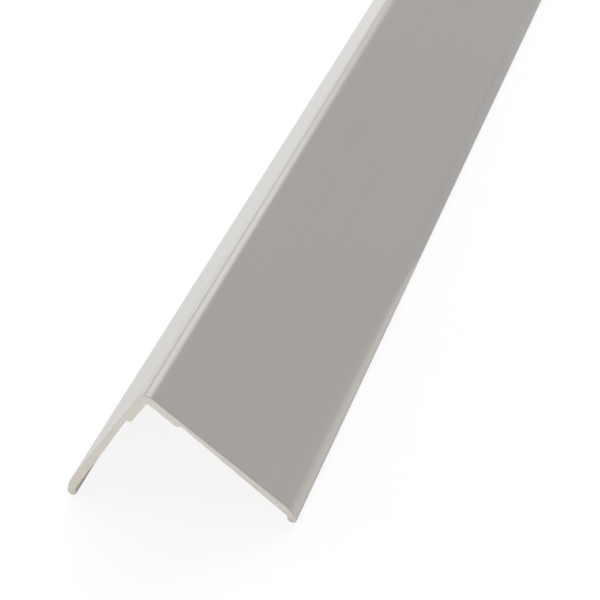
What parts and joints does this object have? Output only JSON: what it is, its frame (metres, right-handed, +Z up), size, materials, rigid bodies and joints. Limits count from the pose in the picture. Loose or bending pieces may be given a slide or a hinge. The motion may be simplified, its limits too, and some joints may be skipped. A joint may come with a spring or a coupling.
{
  "type": "corner guard moulding",
  "caption": "Extruded plastic angle with a rounded nose, a thickened corner, tapered legs and lips turned in along its free edges, which covers and protects an outside wall corner.",
  "frame": {"origin": "midway along the length, on the plane of symmetry between the legs, at the level of the two lips that it lies on", "axes": "+X along the length, +Y across the legs, +Z up through the ridge"},
  "size_m": [1, 0.0642, 0.0375],
  "materials": {
    "grey_plastic": "satin grey skin with fine lengthwise extrusion lines, bare creamy plastic at the sawn ends"
  },
  "bodies": {
    "root": {"corner_guard": "grey_plastic"}
  },
  "joints": []
}
